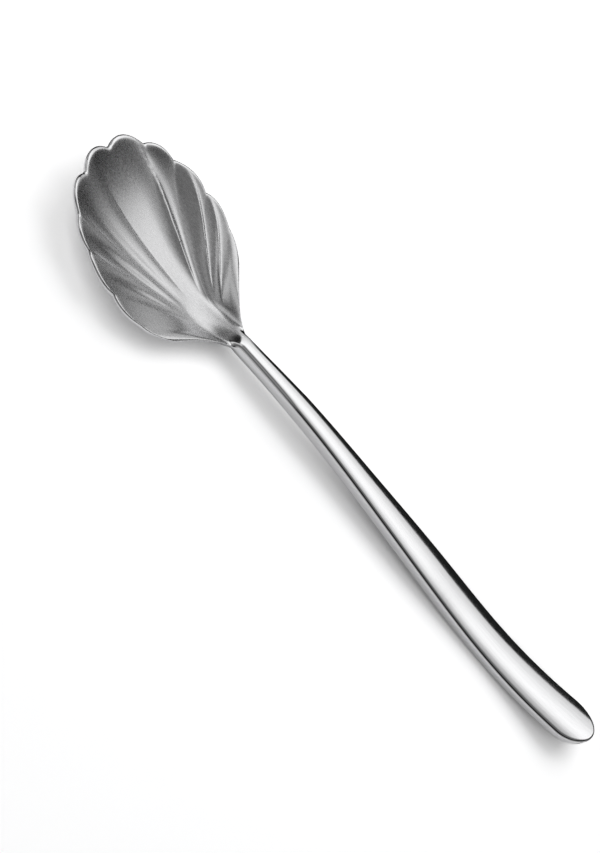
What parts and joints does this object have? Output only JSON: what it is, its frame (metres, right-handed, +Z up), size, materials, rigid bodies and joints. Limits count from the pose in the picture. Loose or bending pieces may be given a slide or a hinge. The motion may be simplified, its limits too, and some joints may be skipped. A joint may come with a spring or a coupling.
{
  "type": "sugar spoon",
  "caption": "Stainless steel sugar spoon with a deep fluted shell bowl, a scalloped rim and a gently curved, slightly domed handle that widens to a rounded end.",
  "frame": {"origin": "on the table, under the middle of the spoon's length and width, as it lies with its bowl up", "axes": "+X from the tip of the bowl to the end of the handle, +Y across, +Z up, out of the open side of the bowl"},
  "size_m": [0.145, 0.0326, 0.0079],
  "materials": {
    "satin_steel": "satin, brushed lengthways along the flutes, with a polished rim",
    "polished_steel": "bright polished stainless steel, faintly brushed lengthways"
  },
  "bodies": {
    "root": {"bowl": "satin_steel", "handle": "polished_steel"}
  },
  "joints": []
}
